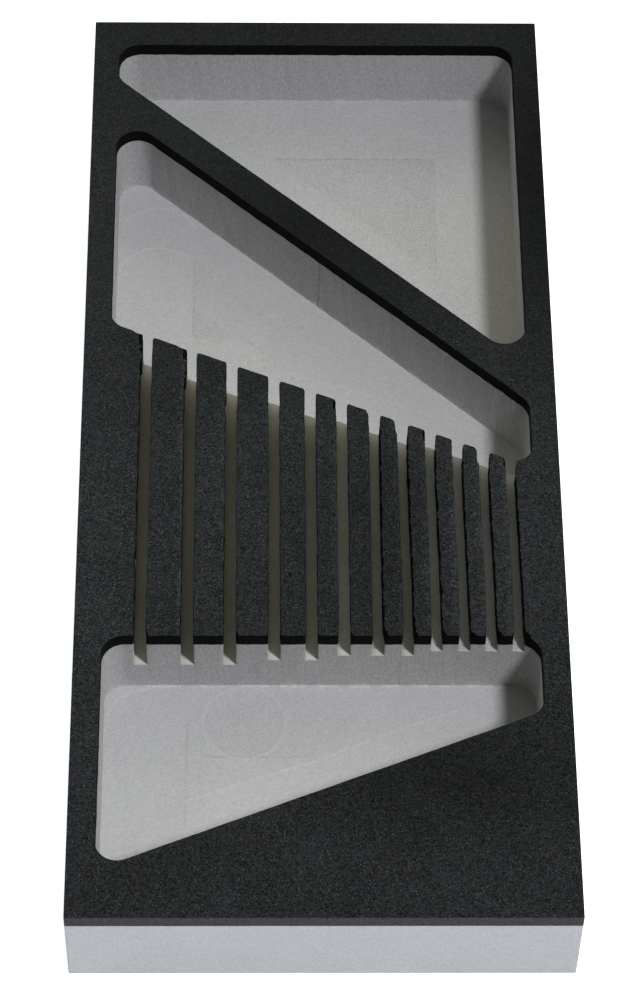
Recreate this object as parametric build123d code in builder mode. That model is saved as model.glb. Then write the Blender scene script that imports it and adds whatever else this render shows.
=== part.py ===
"""Foam tool drawer insert.

A slab of grey closed-cell foam with a thin black foam sheet laminated on top.
Three pockets and twelve stepped slots are milled from above. The slots run from
the near pocket to the middle pocket and hold flat tools on edge.

Frame: origin at the centre of the underside, +Z up, +X to the right,
+Y away from the viewer along the insert. Millimetres.
"""
from build123d import *
import os

# ---- driving dimensions ----
WIDTH = 172.0           # X
LENGTH = 394.0          # Y
HEIGHT = 40.0           # Z, both sheets
SKIN = 5.6              # black sheet
POCKET_DEPTH = 32.5     # all three pockets, below the top
CORNER_R = 8.0          # cutter radius in the pocket corners
NOSE_R = 6.5            # tighter corner where the last slot enters the middle pocket
MOUTH_R = 1.2           # rounding where a slot opens into a pocket
EDGE_R = 0.4            # soft cut edge on top of the black sheet

BASE_H = HEIGHT - SKIN
FLOOR_Z = HEIGHT - POCKET_DEPTH
LEFT_X = -76.3          # side walls shared by the three pockets
RIGHT_X = 76.3

# far pocket: far wall, and a long edge running down to the right
FAR_WALL_Y = 184.9
SLOPE = -0.9033
FAR_EDGE_Y0 = 98.9      # where that edge crosses x = 0
BRIDGE_EDGE_Y0 = 82.2   # the parallel edge on the other side of the diagonal bridge

# middle pocket: near edge through the tips of the ribs
TIP_SLOPE = -0.4235
TIP_Y0 = 16.45

# near pocket: far wall where the slots end, and a long near edge
NEAR_WALL_Y = -87.1
NEAR_EDGE_SLOPE = 0.4034
NEAR_EDGE_Y0 = -148.0

# slots: centre line and depth below the top
SLOT_W = 4.5
SLOTS = [
    (-63.1, 19.0), (-46.8, 19.0), (-31.9, 19.0),
    (-16.4, 16.0), (-3.3, 16.0),
    (8.0, 13.0), (19.7, 13.0), (29.9, 13.0),
    (39.8, 10.0), (49.5, 10.0), (58.9, 10.0), (68.4, 10.0),
]


def tip_y(x):
    """Height on the plan of the line through the rib tips."""
    return TIP_Y0 + TIP_SLOPE * x


# ---- plan outlines, as corner points ----
FAR_POCKET = [
    (LEFT_X, FAR_WALL_Y),
    (LEFT_X, FAR_EDGE_Y0 + SLOPE * LEFT_X),
    (RIGHT_X, FAR_EDGE_Y0 + SLOPE * RIGHT_X),
    (RIGHT_X, FAR_WALL_Y),
]
MIDDLE_POCKET = [
    (LEFT_X, BRIDGE_EDGE_Y0 + SLOPE * LEFT_X),
    (LEFT_X, tip_y(LEFT_X)),
    (RIGHT_X, tip_y(RIGHT_X)),
    (RIGHT_X, BRIDGE_EDGE_Y0 + SLOPE * RIGHT_X),
]
NEAR_POCKET = [
    (LEFT_X, NEAR_WALL_Y),
    (LEFT_X, NEAR_EDGE_Y0 + NEAR_EDGE_SLOPE * LEFT_X),
    (RIGHT_X, NEAR_EDGE_Y0 + NEAR_EDGE_SLOPE * RIGHT_X),
    (RIGHT_X, NEAR_WALL_Y),
]
NOSE = MIDDLE_POCKET[2]
BAND_LEFT = SLOTS[0][0] - SLOT_W / 2
BAND_RIGHT = SLOTS[-1][0] + SLOT_W / 2

os.makedirs("parts", exist_ok=True)


def at(x, y, reach=0.05):
    """Selector for the sketch corner that lies at x, y."""
    return lambda v: abs(v.X - x) < reach and abs(v.Y - y) < reach


# ---- pocket outlines with their cutter radii, used by every piece ----
with BuildSketch() as far_pocket:
    with BuildLine():
        Polyline(*FAR_POCKET, close=True)
    make_face()
    fillet(far_pocket.vertices(), radius=CORNER_R)

with BuildSketch() as middle_pocket:
    with BuildLine():
        Polyline(*MIDDLE_POCKET, close=True)
    make_face()
    fillet(middle_pocket.vertices().filter_by(at(*NOSE)), radius=NOSE_R)
    fillet(
        [v for p in (MIDDLE_POCKET[0], MIDDLE_POCKET[1], MIDDLE_POCKET[3])
         for v in middle_pocket.vertices().filter_by(at(*p))],
        radius=CORNER_R,
    )

with BuildSketch() as near_pocket:
    with BuildLine():
        Polyline(*NEAR_POCKET, close=True)
    make_face()
    fillet(near_pocket.vertices(), radius=CORNER_R)


def mouth_corners(sketch, edges_x):
    """Corners where the straight slot sides at the given x meet a pocket wall."""
    return [
        v for v in sketch.vertices()
        if any(abs(v.X - x) < 0.02 for x in edges_x)
        and (abs(v.Y - NEAR_WALL_Y) < 1.2 or abs(v.Y - tip_y(v.X)) < 2.2)
    ]


# ---- grey foam base ----
with BuildPart() as grey_foam_base:
    with BuildSketch():
        Rectangle(WIDTH, LENGTH)
    extrude(amount=BASE_H)
    # the three pockets, all to one floor level
    with BuildSketch(Plane.XY.offset(FLOOR_Z)):
        add(far_pocket.sketch)
        add(middle_pocket.sketch)
        add(near_pocket.sketch)
    extrude(amount=BASE_H, mode=Mode.SUBTRACT)
    # the slots, in four steps of depth
    for depth in sorted({d for _, d in SLOTS}, reverse=True):
        group = [x for x, d in SLOTS if d == depth]
        with BuildSketch(Plane.XY.offset(HEIGHT - depth)) as slots:
            add(middle_pocket.sketch)
            add(near_pocket.sketch)
            for x in group:
                low, high = NEAR_WALL_Y - 4.0, tip_y(x) + 4.0
                with Locations((x, (low + high) / 2)):
                    Rectangle(SLOT_W, high - low)
            sides = [x + s * SLOT_W / 2 for x in group for s in (-1, 1)]
            fillet(mouth_corners(slots, sides), radius=MOUTH_R)
        extrude(amount=HEIGHT, mode=Mode.SUBTRACT)
grey_foam_base.part.label = "grey_foam_base"
export_step(grey_foam_base.part, "parts/grey_foam_base.step")

# ---- black top frame: rim, diagonal bridge and near apron ----
with BuildPart() as black_top_frame:
    with BuildSketch(Plane.XY.offset(BASE_H)) as frame_plan:
        Rectangle(WIDTH, LENGTH)
        add(far_pocket.sketch, mode=Mode.SUBTRACT)
        add(middle_pocket.sketch, mode=Mode.SUBTRACT)
        add(near_pocket.sketch, mode=Mode.SUBTRACT)
        with BuildLine():
            Polyline(
                (BAND_LEFT, NEAR_WALL_Y - 4.0),
                (BAND_RIGHT, NEAR_WALL_Y - 4.0),
                (BAND_RIGHT, tip_y(BAND_RIGHT) + 4.0),
                (BAND_LEFT, tip_y(BAND_LEFT) + 4.0),
                close=True,
            )
        make_face(mode=Mode.SUBTRACT)
        fillet(mouth_corners(frame_plan, [BAND_LEFT, BAND_RIGHT]), radius=MOUTH_R)
    extrude(amount=SKIN)
    fillet(black_top_frame.faces().sort_by(Axis.Z)[-1].edges(), radius=EDGE_R)
black_top_frame.part.label = "black_top_frame"
export_step(black_top_frame.part, "parts/black_top_frame.step")

# ---- black strips on the ribs, numbered from the left ----
for n in range(len(SLOTS) - 1):
    left = SLOTS[n][0] + SLOT_W / 2
    right = SLOTS[n + 1][0] - SLOT_W / 2
    with BuildPart() as strip:
        with BuildSketch(Plane.XY.offset(BASE_H)) as strip_plan:
            with BuildLine():
                Polyline(
                    (left, NEAR_WALL_Y),
                    (right, NEAR_WALL_Y),
                    (right, tip_y(right)),
                    (left, tip_y(left)),
                    close=True,
                )
            make_face()
            fillet(strip_plan.vertices(), radius=MOUTH_R)
        extrude(amount=SKIN)
        fillet(strip.faces().sort_by(Axis.Z)[-1].edges(), radius=EDGE_R)
    name = f"black_top_strip_{n + 1:02d}"
    strip.part.label = name
    export_step(strip.part, f"parts/{name}.step")
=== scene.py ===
"""Foam tool drawer insert: the looks.

Grey closed-cell foam with a thin black foam sheet on top, milled from above.
Every foam piece is built here as its own closed mesh in the space of its solid:
cut edges with their small tears, walls with the cutter's streaks, pocket floors
with the steps and rings that the milling passes left.

Plan coordinates below are in millimetres, +X right, +Y away from the viewer.
"""

import math

import bpy
import numpy as np
from mathutils import Matrix, Vector
from mathutils.geometry import delaunay_2d_cdt
from mathutils.kdtree import KDTree


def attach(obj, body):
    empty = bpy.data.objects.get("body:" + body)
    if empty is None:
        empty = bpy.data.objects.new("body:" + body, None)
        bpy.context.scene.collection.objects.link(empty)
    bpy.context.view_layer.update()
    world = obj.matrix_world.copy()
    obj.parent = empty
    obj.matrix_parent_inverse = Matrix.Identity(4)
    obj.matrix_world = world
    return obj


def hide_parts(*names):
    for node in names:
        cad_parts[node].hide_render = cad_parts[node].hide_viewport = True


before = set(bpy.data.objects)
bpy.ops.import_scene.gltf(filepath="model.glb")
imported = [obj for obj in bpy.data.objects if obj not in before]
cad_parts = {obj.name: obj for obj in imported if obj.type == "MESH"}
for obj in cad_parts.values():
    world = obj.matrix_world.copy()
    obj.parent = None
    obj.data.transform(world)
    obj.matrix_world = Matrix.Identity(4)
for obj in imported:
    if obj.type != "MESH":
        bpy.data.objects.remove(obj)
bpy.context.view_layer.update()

MM = 0.001

# ---------------------------------------------------------------- dimensions
WIDTH, LENGTH, HEIGHT = 172.0, 394.0, 40.0
SKIN = 5.6
BASE_H = HEIGHT - SKIN
FLOOR_Z = 7.5
CORNER_R, NOSE_R = 8.0, 6.0
LEFT_X, RIGHT_X = -76.3, 76.3
FAR_WALL_Y = 184.9
SLOPE, FAR_EDGE_Y0, BRIDGE_EDGE_Y0 = -0.9033, 98.9, 82.2
TIP_SLOPE, TIP_Y0 = -0.4235, 16.9
NEAR_WALL_Y = -87.1
NEAR_EDGE_SLOPE, NEAR_EDGE_Y0 = 0.4034, -148.0
SLOT_W = 4.5
SLOTS = [
    (-63.1, 21.0), (-46.8, 21.0), (-31.9, 21.0),
    (-16.4, 24.0), (-3.3, 24.0),
    (8.0, 27.0), (19.7, 27.0), (29.9, 27.0),
    (39.8, 30.0), (49.5, 30.0), (58.9, 30.0), (68.4, 30.0),
]
# how far each slot corner is worn round, by the slot's left and right side
TIP_LEFT_SIDE = [0.5, 0.45, 0.6, 0.6, 1.2, 0.9, 0.8, 1.4, 0.5, 0.5, 1.5, 1.5]
TIP_RIGHT_SIDE = [1.7, 1.6, 1.6, 1.5, 1.5, 1.4, 1.5, 1.6, 1.3, 1.4, 1.4, 1.4]
NEAR_LEFT_SIDE = [0.45, 0.5, 0.45, 0.45, 0.5, 0.45, 0.45, 0.5, 0.45, 0.5, 0.45, 0.5]
NEAR_RIGHT_SIDE = [0.5, 0.45, 0.5, 0.45, 0.5, 0.45, 0.45, 0.45, 0.45, 0.45, 0.45, 0.45]
# corners of the black sheet that have drawn back, slanting from the lamination up: slot, its
# left side or not, at the tip or not, width across and length along the slot
CORNER_LOSS = [
    (7, True, True, 0.4, 1.6),
    (1, False, False, 0.9, 2.5), (3, False, False, 0.9, 2.5), (2, False, False, 0.3, 0.8),
    (4, False, False, 0.3, 0.8), (5, False, False, 0.5, 1.0), (6, False, False, 0.9, 1.8),
    (7, False, False, 1.4, 2.4), (8, False, False, 1.4, 2.0), (9, False, False, 1.6, 2.4),
    (10, False, False, 1.8, 2.2), (11, False, False, 2.0, 2.2), (12, False, False, 2.3, 1.9),
]
# runs along a slot side where the sheet slants back: slot, left side or not, from and to
# (distance from the tip), depth
RUN_LOSS = [(3, True, 6.0, 9.5, 0.25)] + [
    (n, False, 5.5, 200.0, deep) for n, deep in ((7, 0.5), (8, 0.45), (9, 0.33), (10, 0.3), (11, 0.3), (12, 0.25))]
# places where only the skin of the sheet is torn off beside a slot, leaving a dark ledge
SKIN_LOSS = [
    (1, True, -1.5, 5.2, 1.35), (1, True, 6.4, 15.2, 0.45), (2, True, -1.5, 4.9, 1.3), (2, True, 6.0, 14.6, 0.45),
    (6, True, 0.4, 4.2, 0.95), (9, True, 0.4, 4.2, 0.85), (12, True, 0.8, 3.8, 0.65), (3, True, 2.0, 6.0, 0.12),
]


# painted light in each slot: how much paler its foam is painted, standing in for the fill light that reaches it, and
# how strongly it is tinted warm, a painted warm shade
SLOT_PAINTED_LIGHT = [7.0, 5.0, 6.0, 6.0, 5.5, 4.5, 2.0, 1.2, 0.5, 0.0, 0.0, -1.0]
SLOT_WARM_SHADE = [1.0, 1.0, 1.0, 0.9, 0.9, 0.8, 0.8, 0.5, 0.2, 0.0, 0.0, 0.0]


# painted highlight along the black sheet's rim on the left side of some slots, where the edge faces the key light
RIM_PAINTED_HIGHLIGHT = {2: 0.7, 3: 0.35, 6: 0.35, 8: 0.25, 9: 0.5, 10: 0.5, 11: 0.6, 12: 0.7}


def tip_y(x):
    return TIP_Y0 + TIP_SLOPE * x


# --------------------------------------------------------------- smooth noise
TABLE = np.random.default_rng(7719).uniform(-1, 1, 8192)
TABLE2 = np.random.default_rng(4021).uniform(-1, 1, (256, 256))


def noise1(s, wave, seed):
    """Smooth noise along a line, about -1 to 1, with the given wavelength."""
    t = np.asarray(s, float) / wave + 37.17 * seed + 500.0
    i = np.floor(t).astype(int)
    f = t - i
    f = f * f * (3 - 2 * f)
    a = TABLE[(i + 613 * seed) % 8192]
    b = TABLE[(i + 1 + 613 * seed) % 8192]
    return a * (1 - f) + b * f


def noise2(x, y, wave, seed):
    u = np.asarray(x, float) / wave + 11.3 * seed + 300.0
    v = np.asarray(y, float) / wave + 5.7 * seed + 300.0
    i, j = np.floor(u).astype(int), np.floor(v).astype(int)
    f, g = u - i, v - j
    f, g = f * f * (3 - 2 * f), g * g * (3 - 2 * g)
    k = 17 * seed

    def at(a, b):
        return TABLE2[(a + k) % 256, (b + 3 * k) % 256]

    return (at(i, j) * (1 - f) * (1 - g) + at(i + 1, j) * f * (1 - g)
            + at(i, j + 1) * (1 - f) * g + at(i + 1, j + 1) * f * g)


def smooth(a, b, x):
    t = np.clip((np.asarray(x, float) - a) / (b - a), 0, 1)
    return t * t * (3 - 2 * t)


# ------------------------------------------------------------- plan outlines
def rounded(corners, radii, step=0.12):
    """Closed outline through the corners, each rounded to its radius."""
    out = []
    n = len(corners)
    for k in range(n):
        p = np.array(corners[k], float)
        u = np.array(corners[k - 1], float) - p
        v = np.array(corners[(k + 1) % n], float) - p
        u, v = u / np.hypot(*u), v / np.hypot(*v)
        half = math.acos(float(np.clip(u @ v, -1, 1))) / 2
        r = radii[k]
        t = r / math.tan(half)
        mid = (u + v) / np.hypot(*(u + v))
        c = p + mid * r / math.sin(half)
        a0 = math.atan2(*(p + u * t - c)[::-1])
        a1 = math.atan2(*(p + v * t - c)[::-1])
        da = (a1 - a0 + math.pi) % (2 * math.pi) - math.pi
        m = max(3, int(abs(da) * r / step))
        for j in range(m + 1):
            a = a0 + da * j / m
            out.append(c + r * np.array([math.cos(a), math.sin(a)]))
    return np.array(out)


class Ring:
    """A closed outline, measured along its length."""

    def __init__(self, pts):
        self.p = np.vstack([pts, pts[:1]])
        self.s = np.concatenate([[0], np.cumsum(np.hypot(*np.diff(self.p, axis=0).T))])
        self.total = self.s[-1]

    def at(self, s):
        s = np.asarray(s, float) % self.total
        return np.stack([np.interp(s, self.s, self.p[:, 0]),
                         np.interp(s, self.s, self.p[:, 1])], -1)

    def crossing(self, x, way):
        """Length along the outline where it passes x, going right (way 1) or left (-1)."""
        for k in range(len(self.p) - 1):
            x0, x1 = self.p[k, 0], self.p[k + 1, 0]
            if way * (x1 - x0) > 0 and min(x0, x1) <= x <= max(x0, x1):
                return self.s[k] + (x - x0) / (x1 - x0) * (self.s[k + 1] - self.s[k])
        raise ValueError(x)


far_ring = Ring(rounded([
    (LEFT_X, FAR_WALL_Y), (LEFT_X, FAR_EDGE_Y0 + SLOPE * LEFT_X),
    (RIGHT_X, FAR_EDGE_Y0 + SLOPE * RIGHT_X), (RIGHT_X, FAR_WALL_Y)], [CORNER_R] * 4))
middle_ring = Ring(rounded([
    (LEFT_X, BRIDGE_EDGE_Y0 + SLOPE * LEFT_X), (LEFT_X, tip_y(LEFT_X)),
    (RIGHT_X, tip_y(RIGHT_X)), (RIGHT_X, BRIDGE_EDGE_Y0 + SLOPE * RIGHT_X)],
    [CORNER_R, 7.0, NOSE_R, CORNER_R]))
near_ring = Ring(rounded([
    (LEFT_X, NEAR_WALL_Y), (LEFT_X, NEAR_EDGE_Y0 + NEAR_EDGE_SLOPE * LEFT_X),
    (RIGHT_X, NEAR_EDGE_Y0 + NEAR_EDGE_SLOPE * RIGHT_X), (RIGHT_X, NEAR_WALL_Y)],
    [CORNER_R, 7.4, CORNER_R, CORNER_R]))

# ------------------------------------------------- plan graph: points and arcs
plan = []        # 2-D points
arcs = {}        # name -> list of point numbers, open space on the left


def new_points(pts):
    first = len(plan)
    plan.extend(np.asarray(pts, float))
    return list(range(first, len(plan)))


def along(ring, s0, s1, ds):
    """Inner points of a ring between two lengths, going up from s0 to s1."""
    if s1 < s0:
        s1 += ring.total
    n = max(2, int(round((s1 - s0) / ds)))
    return ring.at(s0 + (s1 - s0) * np.arange(1, n) / n)


POCKET_DS, SLOT_DS = 0.55, 0.6

ids = new_points(far_ring.at(np.linspace(0, far_ring.total, int(far_ring.total / POCKET_DS), endpoint=False)))
arcs["far"] = ids + ids[:1]

def push(n, left, d, e):
    """How far a side of slot n stands into it, at d from the tip and e from the near end."""
    lean = smooth(70, 17, e)
    if n <= 3:
        if not left:
            return 0.1 + 0 * d
        deep, end = ((0.7, 15.3), (0.65, 14.8), (0.3, 16.0))[n - 1]
        out = 0.1 + deep * (1 - smooth(end - 0.8, end + 0.8, d))
        if n == 3:
            out = out - 0.22 * smooth(3.5, 5.5, d) * (1 - smooth(10, 12, d))
        return out
    if n <= 5:
        return 0.2 + 0 * d
    if n == 6:
        return (0.25 if left else 0.1) + 0 * d
    if left:
        out = 0.35 + (0.0 if n == 7 else 0.5) * lean * (1 - 0.4 * smooth(10, 0, e))
        if n == 8:
            out = out - 0.75 * (1 - smooth(2.5, 6.5, d))
        if n == 11:
            out = out - 0.6 * (1 - smooth(5.2, 6.8, d))
        return out
    out = (0.1 if n == 7 else 0.28) - (0.0 if n == 7 else 0.55) * lean + 0.5 * smooth(3.8, 6.0, d)
    return out * smooth(-0.5, 6.0, e)


nodes, node_s = {}, {}
for n, (cx, _) in enumerate(SLOTS, 1):
    xl, xr = cx - SLOT_W / 2, cx + SLOT_W / 2
    run = tip_y(cx) - NEAR_WALL_Y
    for key, ring, way, x, t in (
            (f"TL{n}", middle_ring, 1, xl + float(push(n, True, 0.0, run)), -TIP_LEFT_SIDE[n - 1]),
            (f"TR{n}", middle_ring, 1, xr - float(push(n, False, 0.0, run)), TIP_RIGHT_SIDE[n - 1]),
            (f"BL{n}", near_ring, -1, xl + float(push(n, True, run, 0.0)), NEAR_LEFT_SIDE[n - 1]),
            (f"BR{n}", near_ring, -1, xr - float(push(n, False, run, 0.0)), -NEAR_RIGHT_SIDE[n - 1])):
        s = ring.crossing(x, way)
        node_s[key] = (s + t) % ring.total
        nodes[key] = new_points([ring.at(s + t)])[0]
        node_s[key + "x"] = x


def link(name, a, b, ring, ds):
    arcs[name] = [nodes[a]] + new_points(along(ring, node_s[a], node_s[b], ds)) + [nodes[b]]


for n in range(1, 13):
    link(f"tip_mouth{n}", f"TL{n}", f"TR{n}", middle_ring, 0.5)
    link(f"near_mouth{n}", f"BR{n}", f"BL{n}", near_ring, 0.5)
    if n < 12:
        link(f"tip{n}", f"TR{n}", f"TL{n + 1}", middle_ring, 0.45)
        link(f"near{n}", f"BL{n + 1}", f"BR{n}", near_ring, 0.45)
link("middle_rest", "TR12", "TL1", middle_ring, POCKET_DS)
link("near_rest", "BL1", "BR12", near_ring, POCKET_DS)


def tangent_meets(ring, key, x):
    """Where the outline's tangent at a node meets the slot side at x."""
    a, b = ring.at(node_s[key] - 0.05), ring.at(node_s[key] + 0.05)
    d = (b - a) / np.hypot(*(b - a))
    p = ring.at(node_s[key])
    return p + d * (x - p[0]) / d[0]


def side(x, top_key, bottom_key, t_top, t_bottom):
    """Slot side from its tip node down to its near node, corners worn round."""
    n, left = int(top_key[2:]), top_key[1] == "L"
    way = 1 if left else -1
    top_x = tangent_meets(middle_ring, top_key, node_s[top_key + "x"])
    low_x = tangent_meets(near_ring, bottom_key, node_s[bottom_key + "x"])
    a = np.array([top_x[0], top_x[1] - t_top * 1.15])
    b = np.array([low_x[0], low_x[1] + t_bottom * 1.15])

    def corner(p0, p1, p2, t):
        m = max(3, int(round(2.3 * t / 0.4)))
        u = (np.arange(1, m) / m)[:, None]
        return (1 - u) ** 2 * p0 + 2 * u * (1 - u) * p1 + u ** 2 * p2

    m = max(2, int(round((a[1] - b[1]) / SLOT_DS)))
    u = np.arange(0, m + 1) / m
    y = a[1] + (b[1] - a[1]) * u
    run = np.stack([x + way * push(n, left, tip_y(x) - y, y - NEAR_WALL_Y), y], -1)
    # meets both corners exactly
    run[:, 0] += (a[0] - run[0, 0]) * np.exp(-(a[1] - y) / 1.5) + (b[0] - run[-1, 0]) * np.exp(-(y - b[1]) / 1.5)
    return np.vstack([corner(plan[nodes[top_key]], top_x, a, t_top), run,
                      corner(b, low_x, plan[nodes[bottom_key]], t_bottom)])


for n, (cx, _) in enumerate(SLOTS, 1):
    pts = side(cx - SLOT_W / 2, f"TL{n}", f"BL{n}", TIP_LEFT_SIDE[n - 1], NEAR_LEFT_SIDE[n - 1])
    arcs[f"L{n}"] = [nodes[f"TL{n}"]] + new_points(pts) + [nodes[f"BL{n}"]]
    pts = side(cx + SLOT_W / 2, f"TR{n}", f"BR{n}", TIP_RIGHT_SIDE[n - 1], NEAR_RIGHT_SIDE[n - 1])
    arcs[f"R{n}"] = [nodes[f"BR{n}"]] + new_points(pts[::-1]) + [nodes[f"TR{n}"]]

# outer outline, clockwise so that the open side is on its left
outer_corners = [(-WIDTH / 2, -LENGTH / 2), (-WIDTH / 2, LENGTH / 2), (WIDTH / 2, LENGTH / 2), (WIDTH / 2, -LENGTH / 2)]
outer_ring = Ring(rounded(outer_corners, [0.5] * 4))
m = int(outer_ring.total / 1.1)
ids = []
for k in range(4):
    a, b = np.array(outer_corners[k]), np.array(outer_corners[(k + 1) % 4])
    d = (b - a) / np.hypot(*(b - a))
    run = np.hypot(*(b - a))
    ts = np.concatenate([[0.5, 0.9], np.linspace(1.5, run - 1.5, int(run / 1.8)), [run - 0.9, run - 0.5]])
    ids += new_points([a + d * t for t in ts])
    nxt = np.array(outer_corners[(k + 2) % 4])
    e = (nxt - b) / np.hypot(*(nxt - b))
    c = b - d * 0.5 + e * 0.5
    ids += new_points([c + 0.5 * (d * math.sin(w) - e * math.cos(w)) for w in np.radians([22, 45, 68])])
arcs["outer"] = ids + ids[:1]

plan = np.array(plan)

# closed outlines of the top, each with the open space on its left
hole = (arcs["middle_rest"][:-1] + arcs["L1"][:-1] + arcs["near_rest"][:-1] + arcs["R12"][:-1])
strips = [arcs[f"tip{n}"][:-1] + arcs[f"L{n + 1}"][:-1] + arcs[f"near{n}"][:-1] + arcs[f"R{n}"][:-1]
          for n in range(1, 12)]
tops = {"far": arcs["far"][:-1], "hole": hole, "outer": arcs["outer"][:-1],
        **{f"strip{n}": loop for n, loop in enumerate(strips, 1)}}

normal = np.zeros_like(plan)      # towards the open space
length_at = np.zeros(len(plan))   # distance along the outline
grade = np.zeros(len(plan))       # how ragged: 1 in the slots, low on pockets, least outside
seed_at = np.zeros(len(plan))


def measure(loop, closed=True):
    p = plan[loop]
    d = np.roll(p, -1, 0) - np.roll(p, 1, 0) if closed else np.gradient(p, axis=0)
    d /= np.maximum(np.hypot(d[:, 0], d[:, 1]), 1e-9)[:, None]
    seg = np.hypot(*(p - np.roll(p, 1, 0)).T)
    seg[0] = 0
    return np.stack([-d[:, 1], d[:, 0]], -1), np.cumsum(seg)


for k, loop in enumerate(tops.values()):
    normal[loop], length_at[loop] = measure(loop)
    length_at[loop] += 3000.0 * k
for name, ids in arcs.items():
    if "mouth" in name:
        nn, ss = measure(ids, closed=False)
        normal[ids[1:-1]], length_at[ids[1:-1]] = nn[1:-1], ss[1:-1] + 90000
    for i in ids:
        grade[i] = max(grade[i], 1.0 if name[0] in "LR" else 0.35 if name[:3] == "tip" or name[:5] == "near1"
                       else 0.3 if name.startswith("near") and name != "near_rest" else 0.12 if name != "outer" else 0.05)

mouth_inner = np.zeros(len(plan), bool)
for name, ids in arcs.items():
    if "mouth" in name:
        mouth_inner[ids[1:-1]] = True
at_node = np.ones(len(plan))
at_node[list(nodes.values())] = 0.0

S = length_at
# the cutter's own wander, shared by both sheets
wander = 0.05 * noise1(S, 9.0, 1) + 0.03 * noise1(S, 3.7, 2)
wander = np.where(grade > 0.9, 0.07 * noise1(S, 7.0, 3) + 0.05 * noise1(S, 2.6, 4), wander)
wander[arcs["outer"]] = -0.02 - 0.02 * np.abs(noise1(S[arcs["outer"]], 24.0, 5))
wander = wander * np.where(at_node == 0, 0.4, 1)
# tiny scallops along the lamination
scallop = 0.09 * noise1(S, 1.9, 6) + 0.05 * noise1(S, 0.95, 7)
scallop[arcs["outer"]] *= 0.25


# -------------------------------------------------------------- triangulation
def inside(points, loops):
    """Even-odd test of points against closed outlines given as arrays."""
    x, y = points[:, 0], points[:, 1]
    odd = np.zeros(len(points), bool)
    order = np.argsort(y)
    ys = y[order]
    for loop in loops:
        a, b = loop, np.roll(loop, -1, 0)
        for (x0, y0), (x1, y1) in zip(a, b):
            if y0 == y1:
                continue
            lo, hi = (y0, y1) if y0 < y1 else (y1, y0)
            i, j = np.searchsorted(ys, lo, "left"), np.searchsorted(ys, hi, "left")
            if j <= i:
                continue
            k = order[i:j]
            hit = x[k] < x0 + (y[k] - y0) * (x1 - x0) / (y1 - y0)
            odd[k[hit]] ^= True
    return odd


def near_points(points, others, reach):
    """True for points closer than reach to any of the others."""
    tree = KDTree(len(others))
    for i, (x, y) in enumerate(others):
        tree.insert((x, y, 0), i)
    tree.balance()
    return np.array([tree.find((x, y, 0))[2] < reach for x, y in points])


def hex_grid(loops, spacing, margin, extra=None, extra_reach=0.8):
    every = np.vstack(loops)
    (x0, y0), (x1, y1) = every.min(0), every.max(0)
    rows = int((y1 - y0) / (spacing * 0.866)) + 1
    cols = int((x1 - x0) / spacing) + 2
    gx, gy = np.meshgrid(np.arange(cols), np.arange(rows))
    x = x0 + (gx + 0.5 * (gy % 2)) * spacing
    y = y0 + gy * spacing * 0.866
    x = x + 0.22 * spacing * noise2(gx * 1.7, gy * 1.3, 1.0, 9)
    y = y + 0.22 * spacing * noise2(gx * 1.3, gy * 1.9, 1.0, 10)
    p = np.stack([x.ravel(), y.ravel()], -1)
    p = p[inside(p, loops)]
    p = p[~near_points(p, every, margin)]
    if extra is not None and len(extra):
        p = p[~near_points(p, extra, extra_reach)]
        p = np.vstack([p, extra])
    return p


def fill(loops, grid):
    """Triangles between closed outlines (arrays) and inner points. Corners are numbered
    through the outlines in turn, then the inner points. Counter-clockwise from above."""
    pts, edges = [], []
    for loop in loops:
        first = len(pts)
        pts += [Vector(p) for p in loop]
        edges += [(first + k, first + (k + 1) % len(loop)) for k in range(len(loop))]
    pts += [Vector(p) for p in grid]
    out = delaunay_2d_cdt(pts, edges, [], 0, 1e-7)
    verts, tris, origin = out[0], out[2], out[3]
    if len(verts) != len(pts) or any(len(o) != 1 for o in origin):
        raise ValueError("outlines cross")
    source = np.array([o[0] for o in origin])
    tris = source[np.array(tris)]
    p = np.array([tuple(v) for v in pts])
    mid = p[tris].mean(1)
    tris = tris[inside(mid, loops)]
    a, b, c = (p[tris[:, k]] for k in range(3))
    area = np.cross(b - a, c - a)
    tris[area < 0] = tris[area < 0][:, ::-1]
    tris = tris[np.abs(area) > 2e-4]      # no slivers along straight outlines
    return tris


def make_object(name, verts, faces, smooth_faces=None):
    mesh = bpy.data.meshes.new(name)
    verts = np.asarray(verts, float) * MM
    quads = [f for f in faces if len(f)]
    mesh.from_pydata([tuple(v) for v in verts], [], quads)
    mesh.validate()
    mesh.update()
    if smooth_faces is not None:
        mesh.polygons.foreach_set("use_smooth", np.asarray(smooth_faces, bool))
    obj = bpy.data.objects.new(name, mesh)
    bpy.context.scene.collection.objects.link(obj)
    return obj


# ------------------------------------------------------------- milling marks
class Mark:
    """A line left by a milling pass: (points, height, half width). Height above 0 is a ridge."""

    def __init__(self, pts, height, half=0.35, step_to=None):
        self.pts = np.asarray(pts, float)
        self.height, self.half = height, half


def arc_points(cx, cy, r, a0, a1, step=1.0):
    n = max(4, int(abs(math.radians(a1 - a0)) * r / step))
    a = np.radians(np.linspace(a0, a1, n + 1))
    return np.stack([cx + r * np.cos(a), cy + r * np.sin(a)], -1)


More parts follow.
